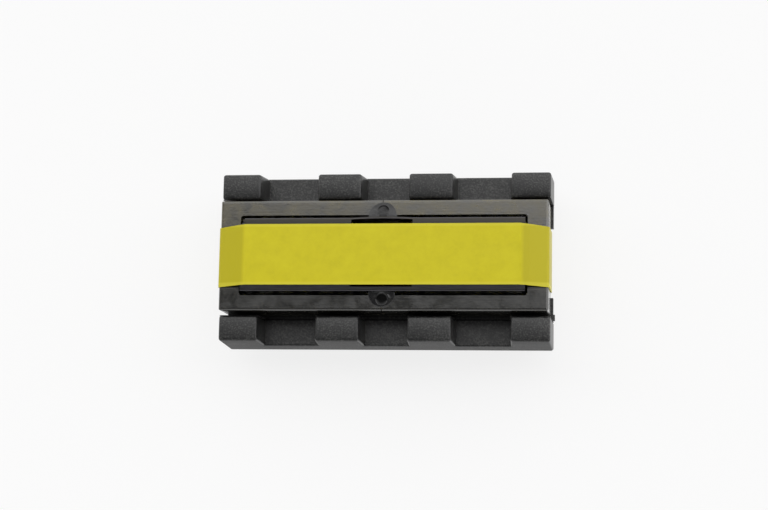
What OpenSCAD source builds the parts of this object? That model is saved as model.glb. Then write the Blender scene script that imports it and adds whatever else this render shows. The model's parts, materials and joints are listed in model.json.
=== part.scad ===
// Flat two-output board transformer: an E-E ferrite core round a sectional bobbin with
// four blocks on each rail, a winding cover, a lap of tape and eight board pins.
// Origin: centre of the pin pattern, at the height of the board (z = 0).

/* [Core] */
// Length of the closed core pair
core_len = 39.6; // [36:0.1:44]
// Width of the core pair over its outer legs
core_w = 13.36; // [12.4:0.02:15]
// Height of the outer legs and the back walls
core_h = 6.6; // [5.8:0.1:8]
// Width of each outer leg
leg_w = 1.82; // [1.4:0.02:2.1]
// Thickness of each back wall
back_t = 2.46; // [1.8:0.01:2.8]
// Width of the centre leg
centre_leg_w = 4.4; // [3.6:0.1:4.8]
// Height of the centre leg
centre_leg_h = 4; // [3.2:0.1:4.4]
// Radius of the core's outer edges
core_edge_r = 0.3; // [0.1:0.05:0.6]
// Radius of the inner corners between leg and back wall
core_fillet_r = 0.35; // [0.1:0.05:0.6]
// Thickness of the film between the two halves
film_t = 0.1; // [0.05:0.01:0.4]

/* [Rails and blocks] */
// How far the bobbin reaches past each end of the core
end_lip = 0.27; // [0.2:0.01:1]
// Gap between the core's side and each rail
rail_gap = 0.4; // [0.2:0.01:0.8]
// Width of each rail at its foot
rail_w = 3.45; // [2.8:0.05:4.5]
// Height of the ledges between the blocks
ledge_h = 2.9; // [2.4:0.1:4]
// Height of the corner blocks
corner_block_h = 7; // [5.8:0.05:8]
// Height of the middle blocks
middle_block_h = 6.85; // [5.8:0.05:8]
// Length of each corner block
corner_block_len = 4.76; // [3.8:0.02:5.6]
// Length of each middle block
middle_block_len = 5.24; // [3.8:0.02:6]
// Distance from the middle of the part to the middle of each middle block
middle_block_x = 5.57; // [4.6:0.01:7]
// Slope of the rails' outer faces, in degrees
side_draft = 2.8; // [0.5:0.1:4]
// Slope of the rails' end faces, in degrees
end_draft = 0.7; // [0.1:0.1:3]
// Slope of the block faces that look into the gaps, in degrees
gap_draft = 4; // [0.5:0.5:8]
// Radius of the blocks' top edges
block_edge_r = 0.3; // [0.1:0.05:0.6]
// Radius of the ledges' outer edge
ledge_edge_r = 0.15; // [0.05:0.05:0.4]
// Diameter of the gate mark on the right end
gate_d = 0.8; // [0.5:0.1:1.2]
// Height of the gate mark
gate_h = 0.2; // [0.1:0.05:0.4]

/* [Floor] */
// Gap between the board and the underside of the floor
floor_lift = 0.7; // [0.5:0.05:1.2]
// Thickness of the floor that carries the core
floor_t = 1; // [0.6:0.05:1.6]
// How far the floor reaches inside the outer legs
floor_reach = 0.55; // [0.45:0.05:0.7]
// Width of the notch in each end that the tape passes through
tape_notch_w = 8.6; // [7.6:0.1:9]

/* [Coil former] */
// Winding chambers on each side of the primary chamber
chambers = 5; // [3:1:7]
// Length of the primary chamber
primary_len = 7.4; // [5:0.1:9]
// Thickness of the walls beside the primary chamber
primary_wall_t = 0.7; // [0.5:0.05:1.2]
// Thickness of the fins between the secondary chambers
fin_t = 0.5; // [0.35:0.05:0.8]
// Thickness of the end walls
end_wall_t = 0.7; // [0.4:0.05:1.2]
// Radius of the fins' corners
fin_corner_r = 0.4; // [0.1:0.1:0.8]
// Wall of the tube round the centre leg
tube_wall = 0.4; // [0.3:0.05:0.55]
// Clearance between the centre leg and the tube
tube_gap = 0.1; // [0.04:0.02:0.16]
// Clearance between the end walls and the core's back walls
coil_end_gap = 0.24; // [0.1:0.02:0.5]
// Gap between the outer legs and the feet of the fins
foot_gap = 0.35; // [0.2:0.05:0.4]
// Height of the fins' feet above the floor
foot_h = 0.5; // [0.3:0.1:1]

/* [Windings] */
// How far the windings stay below the rims of the fins
coil_inset = 0.25; // [0.2:0.01:0.35]
// Clearance between a winding and the fins beside it
coil_side_gap = 0.05; // [0.02:0.01:0.15]
// Radius of the windings' corners
coil_corner_r = 0.6; // [0.3:0.1:0.9]
// Width of the crossing between two chambers
crossing_w = 0.6; // [0.4:0.05:0.9]
// Depth of the crossing
crossing_t = 0.3; // [0.2:0.05:0.4]
// Distance of the crossings from the middle of the coil
crossing_y = 1.5; // [0:0.1:2]
// Clearance round the crossing in each fin's notch
crossing_gap = 0.1; // [0.05:0.01:0.2]
// Thickness of the tape round the primary winding
primary_tape_t = 0.12; // [0.06:0.02:0.18]

/* [Winding cover] */
// Height of the cover's top above the core
cover_rise = 0.78; // [0.6:0.02:1.4]
// Thickness of the cover's top
cover_t = 0.5; // [0.35:0.05:0.7]
// Thickness of the cover's skirts
cover_wall = 0.3; // [0.2:0.05:0.5]
// Clearance between the fins and the cover
cover_slip = 0.05; // [0.02:0.01:0.12]
// Gap between the cover's skirts and the outer legs
cover_side_gap = 0.45; // [0.35:0.05:0.6]
// Gap between the cover's ends and the core's back walls
cover_end_gap = 0.26; // [0.05:0.01:0.4]
// Depth of the cover from its top to the rim of its skirts
cover_depth = 5.6; // [4:0.1:6]
// Length of the window in the cover
window_len = 7.4; // [5:0.1:9]
// Rim left between the window and the face of the front skirt
window_front_rim = 0.49; // [0.35:0.01:0.9]
// Rim left between the window and the face of the rear skirt
window_rear_rim = 0.23; // [0.18:0.01:0.35]
// Outward bow of the rear skirt beside the window
skirt_bow = 0.15; // [0.05:0.01:0.25]
// Radius of the cover's long top edges
cover_edge_r = 0.15; // [0.05:0.05:0.3]
// Length of the key notch in the cover's left rear corner
key_len = 0.4; // [0.2:0.05:0.8]
// Width of the key notch
key_w = 0.95; // [0.5:0.05:1.5]

/* [Core tape] */
// Width of the tape
tape_w = 7.34; // [5:0.02:7.4]
// Thickness of the tape's laps
tape_t = 0.12; // [0.06:0.02:0.2]

/* [Pins] */
// Diameter of a pin's wire
pin_d = 0.64; // [0.5:0.02:0.8]
// Thickness of the dip-solder coat on the free length of a pin
coat_t = 0.03; // [0.01:0.01:0.05]
// Height above the board's face at which the coat has thinned out
coat_end_z = 0.05; // [0.02:0.01:0.1]
// Length of a pin below the board's face
pin_drop = 3.3; // [2.5:0.1:5]
// Height of a pin's buried end
pin_root_z = 4.8; // [3.8:0.1:5.4]
// Length of the cone at a pin's tip
pin_tip = 0.25; // [0.1:0.05:0.5]
// Diameter of the tip's end
pin_tip_d = 0.35; // [0.2:0.05:0.45]
// Radial clearance of a pin in its hole
pin_fit = 0.02; // [0.01:0.01:0.05]
// Length of the pocket round each pin
pocket_len = 2.6; // [2.2:0.1:3.4]
// Height of the pocket
pocket_h = 1; // [0.9:0.05:1.6]
// Wall left between each pocket and the rail's outer face
pocket_wall = 0.5; // [0.4:0.05:0.8]

/* [Leads] */
// Diameter of a winding lead
lead_d = 0.24; // [0.15:0.01:0.28]
// Height at which a lead leaves its winding
lead_exit_z = 2.9; // [2.7:0.05:3.1]
// Clearance between a lead and the underside of the floor
lead_gap = 0.2; // [0.1:0.01:0.25]
// Distance from the rail at which a lead turns to its pin
lead_turn = 0.6; // [0.3:0.1:1.5]
// Distance beside the pin at which it turns
lead_aside = 0.38; // [0:0.02:0.6]
// Distance of the primary's leads from the middle of the part
primary_lead_x = 1.85; // [1:0.05:2.3]
// Diameter of the soldered wrap on each pin
wrap_d = 1.5; // [1.2:0.1:1.8]
// Height of the soldered wrap
wrap_h = 0.75; // [0.5:0.05:0.85]
// Height of the cone under the wrap
wrap_cone_h = 0.2; // [0.1:0.05:0.3]
// Diameter of the cone's lower end
wrap_foot_d = 1.1; // [0.9:0.05:1.15]
// Clearance between the wrap and the roof of its pocket
wrap_roof_gap = 0.1; // [0.05:0.01:0.2]
// Clearance between a lead's end and the wrap
wrap_gap = 0.05; // [0.02:0.01:0.1]

/* [Glue] */
// Diameter of the glue spot on the front leg
glue_front_d = 3.2; // [2.4:0.1:4]
// Diameter of the glue spot on the rear leg
glue_rear_d = 3.5; // [2.4:0.1:4]
// Height of the glue above the legs
glue_h = 0.2; // [0.1:0.02:0.4]
// Distance that each spot's middle lies inside the leg
glue_in = 0.2; // [0:0.05:0.5]
// Diameter of the pit in each spot
glue_pit_d = 1.5; // [0.8:0.1:1.8]
// Depth of the pit
glue_pit_h = 0.14; // [0.05:0.01:0.18]
// Distance of each pit's middle from the leg's inner edge
glue_pit_out = 0.46; // [0.2:0.02:0.8]
// Gap between the glue and the cover
glue_gap = 0.05; // [0.02:0.01:0.1]
// Depth of the glue in the slot between leg and cover
glue_fill_h = 0.8; // [0.3:0.1:2]
// Length of the glue in the slot
glue_fill_len = 1.6; // [0.8:0.1:2.2]
// How far the glue in the slot reaches up into the spot
glue_fill_lap = 0.05; // [0.02:0.01:0.06]

/* [Hidden] */
$fn = 48;
BOW_FN = 180;
DOME_FN = 96;
WIRE_SIDES = 8;
PINS = [1 : 8];
PLASTIC = "#3c3c3e";
FERRITE = "#6d6a62";

// Heights, from the board up
core_z = floor_lift + floor_t;
core_top = core_z + core_h;
axis_z = core_z + core_h / 2;
cover_top = core_top + cover_rise;
fin_half_h = cover_top - cover_t - cover_slip - axis_z;
stack_z = core_z - cover_rise;

// Places along the part
body_half = core_len / 2 + end_lip;
window_half = core_len / 2 - back_t;
coil_half = window_half - coil_end_gap;
cover_half = window_half - cover_end_gap;
first_chamber_x = primary_len / 2 + primary_wall_t;
chamber_len = (coil_half - end_wall_t - first_chamber_x - (chambers - 1) * fin_t) / chambers;
corner_block_x = body_half - corner_block_len / 2;

// Places across the part
leg_y = core_w / 2 - leg_w;
rail_y = core_w / 2 + rail_gap;
pin_y = rail_y + rail_w / 2;
floor_y = leg_y - floor_reach;
cover_y = leg_y - cover_side_gap;
fin_y = cover_y - cover_wall - cover_slip;
tube_y = centre_leg_w / 2 + tube_gap + tube_wall;
tube_half_h = centre_leg_h / 2 + tube_gap + tube_wall;
coil_y = fin_y - coil_inset;
coil_half_h = fin_half_h - coil_inset;

// Pins run 1 to 4 along the front rail and 5 to 8 along the rear rail, from the left
function pin_x(i) = [-corner_block_x, -middle_block_x, middle_block_x, corner_block_x][(i - 1) % 4];
function pin_side(i) = i <= 4 ? -1 : 1;
function chamber_x(n) = first_chamber_x + (n - 0.5) * chamber_len + (n - 1) * fin_t;

// Inner pins end the primary. Outer pins end the secondaries: last chambers front, first rear
function is_primary(i) = abs(pin_x(i)) <= middle_block_x;
function lead_x(i) =
    let (outer = pin_side(i) < 0 ? chamber_x(chambers) : chamber_x(1))
    sign(pin_x(i)) * (is_primary(i) ? primary_lead_x : outer);

// Radius of the arc over a chord of the given half length, rising by rise
function arc_r(half, rise) = (half * half + rise * rise) / (2 * rise);

// Corner of a bent strip: the point at distance t outside corner p between a and b
function out_normal(a, b) = [b.y - a.y, a.x - b.x] / norm(b - a);
function mitre(a, p, b, t) =
    let (m = out_normal(a, p), n = out_normal(p, b))
    p + t * (m + n) / (1 + m * n);

module along_x(length) {
    rotate([90, 0, 90]) linear_extrude(length, center = true) children();
}

module along_y(length) {
    rotate([90, 0, 0]) linear_extrude(length, center = true) children();
}

// Rectangle with rounded corners, centred on the origin
module rounded_rect(size, r) {
    square([size.x - 2 * r, size.y], center = true);
    square([size.x, size.y - 2 * r], center = true);
    for (x = [-1, 1], y = [-1, 1])
        translate([x * (size.x / 2 - r), y * (size.y / 2 - r)]) circle(r);
}

// Upright face outline from x0 to x1 at the top, rounded there and spreading to its foot
module drafted_face(x0, x1, h, r, draft0, draft1) {
    shoulder = h - r;
    polygon([
        [x0 - shoulder * tan(draft0), 0],
        [x1 + shoulder * tan(draft1), 0],
        [x1, shoulder],
        [x0, shoulder]
    ]);
    translate([x0 + r, 0]) square([x1 - x0 - 2 * r, h]);
    for (x = [x0 + r, x1 - r]) translate([x, shoulder]) circle(r);
}

// Section across a rail of height h, with its outer face leaning in
module rail_section(h, r) {
    drafted_face(rail_y, rail_y + rail_w - (h - r) * tan(side_draft), h, r, 0, side_draft);
}

module corner_block_face() {
    end_x = body_half - (corner_block_h - block_edge_r) * tan(end_draft);
    drafted_face(end_x - corner_block_len, end_x, corner_block_h, block_edge_r, gap_draft, end_draft);
}

module middle_block_face() {
    translate([middle_block_x, 0]) drafted_face(
        -middle_block_len / 2, middle_block_len / 2, middle_block_h, block_edge_r, gap_draft, gap_draft
    );
}

module ledge_face() {
    end_x = body_half - ledge_h * tan(end_draft);
    polygon([[-body_half, 0], [body_half, 0], [end_x, ledge_h], [-end_x, ledge_h]]);
}

// A rail part: its end-on section cut to its outline along the rail
module rail_part(h, r) {
    intersection() {
        along_x(2 * body_half) rail_section(h, r);
        along_y(4 * pin_y) for (side = [0, 1]) mirror([side, 0]) children();
    }
}

module rail() {
    rail_part(ledge_h, ledge_edge_r) ledge_face();
    rail_part(corner_block_h, block_edge_r) corner_block_face();
    rail_part(middle_block_h, block_edge_r) middle_block_face();
}

// Floor under the outer legs and the core's ends, open under the coil and for the tape
module bobbin_floor() {
    translate([0, 0, floor_lift]) linear_extrude(floor_t) difference() {
        square([2 * body_half, 2 * rail_y + rail_w], center = true);
        square([2 * coil_half, 2 * floor_y], center = true);
        square([4 * body_half, tape_notch_w], center = true);
    }
}

// One wall of the coil former, from x towards +X, with the feet that join it to the floor
module former_wall(x, t, notched) {
    translate([x + t / 2, 0, 0]) along_x(t) difference() {
        union() {
            translate([0, axis_z]) rounded_rect([2 * fin_y, 2 * fin_half_h], fin_corner_r);
            translate([-leg_y + foot_gap, stack_z])
                square([2 * (leg_y - foot_gap), core_z + foot_h - stack_z]);
        }
        if (notched)
            translate([crossing_y - crossing_w / 2 - crossing_gap, 0])
                square([crossing_w + 2 * crossing_gap, axis_z - coil_half_h + crossing_t + crossing_gap]);
    }
}

module coil_former() {
    along_x(2 * coil_half) translate([0, axis_z]) square([2 * tube_y, 2 * tube_half_h], center = true);
    for (side = [0, 1]) mirror([side, 0, 0]) {
        former_wall(primary_len / 2, primary_wall_t, false);
        former_wall(coil_half - end_wall_t, end_wall_t, false);
        for (n = [1 : chambers - 1])
            former_wall(first_chamber_x + n * chamber_len + (n - 1) * fin_t, fin_t, true);
    }
}

// Hole for a pin and the open pocket for its soldered wrap
module pin_seat(i) {
    mouth_y = rail_y - floor_reach;
    pocket_end = rail_y + rail_w - pocket_wall;
    translate([pin_x(i), pin_side(i) * pin_y, 0]) cylinder(h = pin_root_z + pin_fit, r = pin_d / 2 + pin_fit);
    translate([pin_x(i), pin_side(i) * (mouth_y + pocket_end) / 2, 0])
        cube([pocket_len, pocket_end - mouth_y, 2 * pocket_h], center = true);
}

module bobbin() {
    color(PLASTIC) difference() {
        union() {
            rail();
            mirror([0, 1, 0]) rail();
            bobbin_floor();
            coil_former();
            translate([body_half, -core_w / 2, core_z - gate_d / 2])
                rotate([0, 90, 0]) cylinder(h = gate_h, d = gate_d);
        }
        for (i = PINS) pin_seat(i);
        along_x(4 * body_half) translate([0, axis_z])
            square([centre_leg_w + 2 * tube_gap, centre_leg_h + 2 * tube_gap], center = true);
    }
}

// Plan of both halves: back walls and outer legs round the winding window
module core_ring() {
    difference() {
        rounded_rect([core_len, core_w], core_edge_r);
        rounded_rect([2 * window_half, 2 * leg_y], core_fillet_r);
    }
}

module core_half(side) {
    color(FERRITE) intersection() {
        union() {
            intersection() {
                translate([0, 0, core_z]) linear_extrude(core_h) core_ring();
                along_x(core_len) translate([0, axis_z]) rounded_rect([core_w, core_h], core_edge_r);
                along_y(core_w) translate([0, axis_z]) rounded_rect([core_len, core_h], core_edge_r);
            }
            translate([0, 0, axis_z])
                cube([core_len - back_t, centre_leg_w, centre_leg_h], center = true);
        }
        translate([side * (film_t / 2 + core_len / 2), 0, axis_z])
            cube([core_len, 2 * core_w, 2 * core_h], center = true);
    }
}

module core_spacer() {
    color("#c9a24a") {
        for (side = [-1, 1]) translate([0, side * (leg_y + leg_w / 2), axis_z])
            cube([film_t, leg_w - 2 * core_edge_r, core_h - 2 * core_edge_r], center = true);
        translate([0, 0, axis_z]) cube([film_t, centre_leg_w, centre_leg_h], center = true);
    }
}

// A wound ring on the tube, filling a chamber of the given length
module wound_ring(length, grow = 0) {
    along_x(length) translate([0, axis_z]) difference() {
        rounded_rect([2 * (coil_y + grow), 2 * (coil_half_h + grow)], coil_corner_r + grow);
        children();
    }
}

module primary_winding() {
    color("#b87333") wound_ring(primary_len - 2 * coil_side_gap)
        square([2 * tube_y, 2 * tube_half_h], center = true);
}

module primary_tape() {
    color("#a8801c") wound_ring(primary_len - 2 * coil_side_gap, primary_tape_t)
        rounded_rect([2 * coil_y, 2 * coil_half_h], coil_corner_r);
}

// One secondary: a ring in each chamber, joined through the notches in the fins
module secondary_winding(side) {
    crossing_len = chamber_x(chambers) - chamber_x(1);
    color("#a5562a") {
        for (n = [1 : chambers]) translate([side * chamber_x(n), 0, 0])
            wound_ring(chamber_len - 2 * coil_side_gap) square([2 * tube_y, 2 * tube_half_h], center = true);
        translate([side * chamber_x(1) - (side < 0 ? crossing_len : 0), crossing_y - crossing_w / 2, 0])
            translate([0, 0, axis_z - coil_half_h]) cube([crossing_len, crossing_w, crossing_t]);
    }
}

// Beside the window, everything up to an arc that bows past edge_y and is drawn in by inset
module bowed_stretch(edge_y, inset) {
    bow_r = arc_r(window_len / 2, skirt_bow);
    intersection() {
        translate([0, edge_y + skirt_bow - bow_r]) circle(bow_r - inset, $fn = BOW_FN);
        translate([-window_len / 2, 0]) square([window_len, 2 * edge_y]);
    }
}

// Plan of the cover, drawn in by inset, with the bowed stretch of its rear skirt
module cover_plan(inset) {
    square([2 * cover_half, 2 * (cover_y - inset)], center = true);
    bowed_stretch(cover_y, inset);
}

module cover_window_plan() {
    front_y = cover_y - window_front_rim;
    rear_y = cover_y - window_rear_rim;
    translate([-window_len / 2, -front_y]) square([window_len, front_y + rear_y]);
    bowed_stretch(rear_y, 0);
}

module winding_cover() {
    color(PLASTIC) difference() {
        union() {
            along_x(2 * cover_half) translate([0, cover_top - cover_depth]) drafted_face(
                -cover_y, cover_y, cover_depth, cover_edge_r, 0, 0
            );
            translate([0, 0, cover_top - cover_depth])
                linear_extrude(cover_depth - cover_edge_r) cover_plan(0);
        }
        translate([0, 0, cover_top - cover_depth - cover_t])
            linear_extrude(cover_depth) cover_plan(cover_wall);
        linear_extrude(2 * cover_top) cover_window_plan();
        translate([-cover_half, cover_y, cover_top])
            cube([2 * key_len, 2 * key_w, 4 * cover_t], center = true);
    }
}

// Closed lap of tape over the cover, down the core's ends and under the coil
module core_tape() {
    path = [
        [-coil_half, stack_z], [coil_half, stack_z], [core_len / 2, core_z], [core_len / 2, core_top],
        [cover_half, cover_top], [-cover_half, cover_top], [-core_len / 2, core_top], [-core_len / 2, core_z]
    ];
    count = len(path);
    outer = [for (i = [0 : count - 1])
        mitre(path[(i + count - 1) % count], path[i], path[(i + 1) % count], tape_t)];
    color("#d3c832") along_y(tape_w) difference() {
        polygon(outer);
        polygon(path);
    }
}

// A pin: its coated free length with a coned tip, and the bare wire in its block
module pin(i) {
    coated_d = pin_d + 2 * coat_t;
    color("#c8c8c4") translate([pin_x(i), pin_side(i) * pin_y, 0]) {
        translate([0, 0, -pin_drop]) cylinder(h = pin_tip, d1 = pin_tip_d, d2 = coated_d);
        translate([0, 0, pin_tip - pin_drop]) cylinder(h = pin_drop - pin_tip, d = coated_d);
        cylinder(h = coat_end_z, d1 = coated_d, d2 = pin_d);
        translate([0, 0, coat_end_z]) cylinder(h = pin_root_z - coat_end_z, d = pin_d);
    }
}

// Soldered wrap at a pin's root, in its pocket
module solder(i) {
    wrap_z = pocket_h - wrap_roof_gap - wrap_h;
    color("#b9bbbd") translate([pin_x(i), pin_side(i) * pin_y, wrap_z]) difference() {
        union() {
            cylinder(h = wrap_cone_h, d1 = wrap_foot_d, d2 = wrap_d);
            translate([0, 0, wrap_cone_h]) cylinder(h = wrap_h - wrap_cone_h, d = wrap_d);
        }
        translate([0, 0, -wrap_h]) cylinder(h = 3 * wrap_h, d = pin_d);
    }
}

// Straight stretch of wire from p to q, run on past either end by the given lengths
module rod(p, q, before, after) {
    run = q - p;
    translate(p) rotate([0, acos(run.z / norm(run)), atan2(run.y, run.x)]) translate([0, 0, -before])
        cylinder(h = norm(run) + before + after, d = lead_d, $fn = WIRE_SIDES);
}

// Winding end: out of its chamber, down past the floor's edge and under it to the pin
module lead(i) {
    side = pin_side(i);
    start_y = side * (coil_y + (is_primary(i) ? primary_tape_t : 0));
    down_y = side * (coil_y + floor_y) / 2;
    run_z = floor_lift - lead_gap - lead_d / 2;
    turn = [pin_x(i) - sign(pin_x(i)) * lead_aside, side * (rail_y - lead_turn), run_z];
    pin_axis = [pin_x(i), side * pin_y, run_z];
    last = pin_axis + (turn - pin_axis) * (wrap_d / 2 + wrap_gap) / norm(turn - pin_axis);
    points = [
        [lead_x(i), start_y, lead_exit_z], [lead_x(i), down_y, lead_exit_z],
        [lead_x(i), down_y, run_z], turn, last
    ];
    last_run = len(points) - 2;
    color("#a5562a") for (k = [0 : last_run])
        rod(points[k], points[k + 1], k == 0 ? 0 : lead_d / 2, k == last_run ? 0 : lead_d / 2);
}

// Glue spot on a leg's seam: a low dome with a pit, cut off at the cover, and its fill in the slot
module glue(side, d, bow) {
    dome_r = arc_r(d / 2, glue_h);
    slot_y = cover_y + bow + glue_gap;
    middle_y = leg_y - glue_in;
    fill_top = core_top + glue_fill_lap;
    fill_h = glue_fill_h + glue_fill_lap;
    color("#4a4946") difference() {
        union() {
            intersection() {
                translate([0, side * middle_y, core_top + glue_h - dome_r]) sphere(dome_r, $fn = DOME_FN);
                translate([0, side * middle_y, core_top]) cylinder(h = glue_h, d = d);
                translate([0, side * (slot_y + d), core_top]) cube([2 * d, 2 * d, 4 * glue_h], center = true);
            }
            translate([0, side * (slot_y + leg_y) / 2, fill_top - fill_h / 2])
                cube([glue_fill_len, leg_y - slot_y, fill_h], center = true);
        }
        translate([0, side * (leg_y + glue_pit_out), core_top + glue_h - glue_pit_h])
            cylinder(h = 2 * glue_h, d = glue_pit_d);
    }
}

bobbin();
winding_cover();
core_half(-1);  // core_left
core_half(1);  // core_right
core_spacer();
core_tape();
primary_winding();
primary_tape();
secondary_winding(-1);  // secondary_left
secondary_winding(1);  // secondary_right
glue(-1, glue_front_d, 0);  // glue_front
glue(1, glue_rear_d, skirt_bow);  // glue_rear
for (i = PINS) {
    pin(i);
    lead(i);
    solder(i);
}
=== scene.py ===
import json
import math

import bpy
from mathutils import Matrix, Vector, noise


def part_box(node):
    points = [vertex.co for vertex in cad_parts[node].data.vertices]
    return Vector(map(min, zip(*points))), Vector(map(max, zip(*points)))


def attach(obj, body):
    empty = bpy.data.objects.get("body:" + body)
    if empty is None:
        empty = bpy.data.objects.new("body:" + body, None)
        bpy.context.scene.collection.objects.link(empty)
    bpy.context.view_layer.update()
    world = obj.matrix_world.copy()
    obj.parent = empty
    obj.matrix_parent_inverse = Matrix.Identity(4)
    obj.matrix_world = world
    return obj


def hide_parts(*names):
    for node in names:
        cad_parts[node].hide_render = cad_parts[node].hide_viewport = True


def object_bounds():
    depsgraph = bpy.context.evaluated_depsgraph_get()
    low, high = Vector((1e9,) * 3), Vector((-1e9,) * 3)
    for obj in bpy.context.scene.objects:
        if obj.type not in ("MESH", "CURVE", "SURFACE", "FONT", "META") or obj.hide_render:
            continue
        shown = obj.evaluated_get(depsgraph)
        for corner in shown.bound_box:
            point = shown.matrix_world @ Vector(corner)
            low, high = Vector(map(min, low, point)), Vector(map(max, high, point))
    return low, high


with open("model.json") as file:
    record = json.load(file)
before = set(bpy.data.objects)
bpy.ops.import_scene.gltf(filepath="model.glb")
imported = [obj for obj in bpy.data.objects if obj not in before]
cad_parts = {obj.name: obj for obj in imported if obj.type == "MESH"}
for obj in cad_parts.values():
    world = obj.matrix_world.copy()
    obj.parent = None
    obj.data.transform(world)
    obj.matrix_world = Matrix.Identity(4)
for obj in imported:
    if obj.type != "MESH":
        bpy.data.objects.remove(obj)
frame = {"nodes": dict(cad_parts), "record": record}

NODES = frame["nodes"]
MM = 0.001
CAD_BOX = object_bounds()
# Two places closer than this, in millimetres, are one
NEAR = 0.01
# Past every face of the part, in millimetres
PAST_ALL = 30


def millimetres(node):
    """The lowest and highest corners of a CAD node, in millimetres."""
    low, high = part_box(node)
    return low / MM, high / MM


# Faces of the core, cover and bobbin and the places of the pins, in millimetres
CORE_LOW = millimetres("core_left")[0]
CORE_HIGH = millimetres("core_right")[1]
COVER_LOW, COVER_HIGH = millimetres("winding_cover")
PIN_X = [sum(corner.x for corner in millimetres(f"pin_{i}")) / 2 for i in range(5, 9)]
BODY_HALF = -millimetres("bobbin")[0].x
BODY_SIDE = millimetres("bobbin")[1].y

# Sizes of the rails, in millimetres, and the slopes that their tool's draft gives
RAIL_GAP = 0.4
RAIL_Y = CORE_HIGH.y + RAIL_GAP
LEDGE_H = 2.9
CORNER_BLOCK_H = 7.0
MIDDLE_BLOCK_H = 6.85
CORNER_BLOCK_LEN = 4.76
MIDDLE_BLOCK_LEN = 5.24
SIDE_LEAN = math.tan(math.radians(2.8))
END_LEAN = math.tan(math.radians(0.7))
GAP_LEAN = math.tan(math.radians(4))
CORNER_R = 0.3
TOP_R = 0.26
LEDGE_R = 0.2
EDGE_STEPS = 5
BLOCK_FOOT_Z = 0.1
# How far a block's top falls to its long edges, evenly and in the last stretch, in millimetres,
# and the shares of the way out where lines are drawn for it
CROWN = 0.08
ROLL_OFF = 0.06
CROWN_LINES = (0.25, 0.5, 0.68, 0.8, 0.88, 0.95)
# The pocket round each pin's root, and how far its tool runs past the rail's inner face and foot
POCKET = Vector((2.6, 2.95, 1.0))
POCKET_RUN_IN = 0.5
POCKET_RUN_OUT = 1.0
# What the former keeps of each rail, so that the two join, and how low and high its cut reaches
RAIL_STUB = 0.02
CUT_FOOT = -10
CUT_TOP = 20

# Sizes of the windings, their tube and the wire, in millimetres
AXIS_Z = (CORE_LOW.z + CORE_HIGH.z) / 2
TUBE_HALF = (2.7, 2.5)
COIL_R = 0.6
CORNER_STEPS = 6
CHAMBERS = 5
FIN_T = 0.5
COIL_SIDE_GAP = 0.05
FINE_WIRE_T = 0.17
FINE_GROOVE = 0.035
PRIMARY_WIRE_T = 0.27
PRIMARY_GROOVE = 0.05
LAP_W = 0.92
LAP_GROOVE = 0.04
LAP_T = 0.1
CROSSING_R = 0.7 * FINE_WIRE_T
# A crossing's points: along from the fin's face, across, and up from the coil's lowest face
CROSSING = (
    (-0.5, 1.35, 0.12), (0, 1.45, 0.13), (FIN_T + 0.1, 1.55, 0.13), (FIN_T + 0.6, 1.65, 0.12))

# Sizes of the leads and their wraps, in millimetres
PIN_R = 0.32
LEAD_R = 0.12
LEAD_TUCK = 0.1
LEAD_DOWN_Y = 4.06
LEAD_EASE = 0.05
LEAD_BENDS = (0.2, 0.3)
RUN_SHARES = (0.1, 0.5, 0.95)
TURN_ASIDE = 0.38
TURN_IN = 0.6
WRAP_LEAN = 0.8
WRAP_RISE = 0.36
WRAP_STEPS = 30
STEPS_A_TURN = 12

# The solder on a wrap, in millimetres: heights above its lowest face, and the radius there
SOLDER_PROFILE = (
    (0.0, 0.37), (0.06, 0.42), (0.13, 0.56), (0.2, 0.64), (0.28, 0.6), (0.34, 0.63),
    (0.42, 0.66), (0.5, 0.62), (0.56, 0.6), (0.62, 0.58), (0.69, 0.5), (0.75, 0.36))
LUMP_SPACING = 0.5
LUMP_H = 0.05
LUMPS_FROM_R = 0.45

# Sizes of the glue dabs, in millimetres: the dome, its sunken pit and raised rim, and its rise up
# the cover
LEG_Y = 4.86
PIT_X = 0.06
PIT_Y = LEG_Y + 0.46
PIT_R = 0.74
PIT_FLOOR = 0.04
PIT_SHADE = 0.15
RIM_H = 0.07
RIM_AT = 1.08
RIM_W = 0.22
DAB_H = 0.2
DAB_DEPTH = 0.8
DAB_SINK = 0.02
DAB_CUT = 0.03
DAB_RINGS = 20
CLIMB_H = 0.3
CLIMB_REACH = 0.16
SLUMP = 0.03
SPREAD = 0.05

# Sizes of the tape, in millimetres, and how far each border leans in for each millimetre past the
# cover. The second rounding takes in what lies END_CLEAR or more from the cover's ends
TAPE_T = 0.12
COVER_BEND_R = 0.6
CORE_BEND_R = 0.3
END_CLEAR = 0.5
FRONT_ASKEW = 0.07
REAR_ASKEW = 0.11
TAPE_DIP = 0.05
TAPE_LINES_X = range(-16, 17)
TAPE_LINES_Y = range(-3, 4)


# ---------------------------------------------------------------- materials
# Sockets of a colour mix
FACTOR, FIRST, SECOND, MIXED = 0, 6, 7, 2


def linear(hex_colour):
    """An sRGB hex colour as linear RGBA."""
    parts = [int(hex_colour[i:i + 2], 16) / 255 for i in (1, 3, 5)]
    curve = [c / 12.92 if c <= 0.04045 else ((c + 0.055) / 1.055) ** 2.4 for c in parts]
    return (*curve, 1.0)


def add_node(owner, kind, settings=None, links=None):
    """Adds a node to a material or world, with its settings and the links into it."""
    node = owner.node_tree.nodes.new(kind)
    for key, value in (settings or {}).items():
        if key == "stops":
            elements = node.color_ramp.elements
            elements.remove(elements[1])
            elements[0].position, elements[0].color = value[0][0], linear(value[0][1])
            for position, colour in value[1:]:
                elements.new(position).color = linear(colour)
        elif isinstance(key, str) and hasattr(node, key):
            setattr(node, key, value)
        else:
            node.inputs[key].default_value = value
    for key, (source, output) in (links or {}).items():
        owner.node_tree.links.new(source.outputs[output], node.inputs[key])
    return node


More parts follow.
